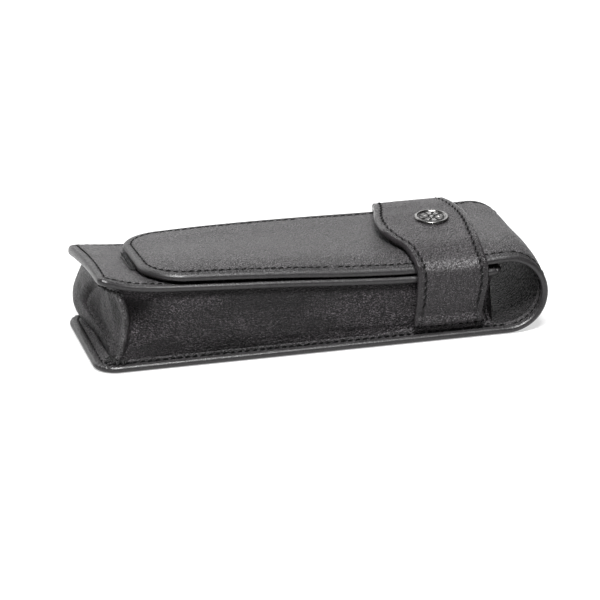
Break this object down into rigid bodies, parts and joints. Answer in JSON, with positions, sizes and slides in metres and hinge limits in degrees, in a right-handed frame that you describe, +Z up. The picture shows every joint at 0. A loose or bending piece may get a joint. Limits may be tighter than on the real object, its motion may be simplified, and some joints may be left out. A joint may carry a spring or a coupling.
{
  "type": "leather instrument case",
  "caption": "Slim black leather case with gusset pocket, wrap-round flap tucked under a fixed strap loop with a metal stud, and a hidden touch-fastener patch",
  "frame": {"origin": "middle of the base, on the surface that the case lies on", "axes": "+X along the case towards the rolled end and the mouth, +Y across to the rear, +Z up through the flap"},
  "size_m": [0.16, 0.0532, 0.0371],
  "materials": {
    "leather": "fine-grained calf leather, satin, black",
    "lining": "grained lining leather, matte, black",
    "board": "pressed fibre board and filler cord, hidden",
    "thread": "waxed black thread",
    "fastener": "woven touch-fastener tape, black",
    "metal": "darkened nickel"
  },
  "bodies": {
    "pouch": {"back_cover": "leather", "back_board": "board", "back_edge_filler": "board", "back_lining": "lining", "gusset_outer": "leather", "gusset_lining": "lining", "mouth_hem_front": "leather", "mouth_hem_rear": "leather", "front_cover": "leather", "front_board": "board", "front_edge_filler": "board", "front_lining": "lining", "hook_patch": "fastener", "strap_outer": "leather", "strap_lining": "lining", "badge_medallion": "metal", "badge_washer": "metal", "strap_stitching_left": "thread", "strap_stitching_right": "thread", "gusset_stitching": "thread", "front_stitching": "thread"},
    "bend": {"bend_cover": "leather", "bend_interlining": "lining", "bend_lining": "lining", "bend_edge_filler_front": "board", "bend_edge_filler_rear": "board"},
    "flap": {"flap_root_cover": "leather", "flap_root_lining": "lining", "flap_fold_band": "leather"},
    "flap_tip": {"flap_cover": "leather", "flap_board": "board", "flap_edge_filler": "board", "flap_lining": "lining", "loop_patch": "fastener", "flap_stitching": "thread"}
  },
  "joints": [
    {"name": "flap_pull", "type": "slide", "parent": "pouch", "child": "flap", "axis": [1, 0, 0], "range_m": [0, 0.125], "deforming": ["flap_root_cover", "flap_root_lining"]},
    {"name": "bend_follow", "type": "slide", "parent": "pouch", "child": "bend", "axis": [1, 0, 0], "range_m": [0, 0.0625]},
    {"name": "flap_tip_lift", "type": "hinge", "parent": "flap", "child": "flap_tip", "pos_m": [-0.00308, 0, 0.0297], "axis": [0, 1, 0], "range_deg": [0, 100]}
  ],
  "couplings": [
    {"joint": "bend_follow", "follows": "flap_pull", "ratio": 0.5}
  ]
}
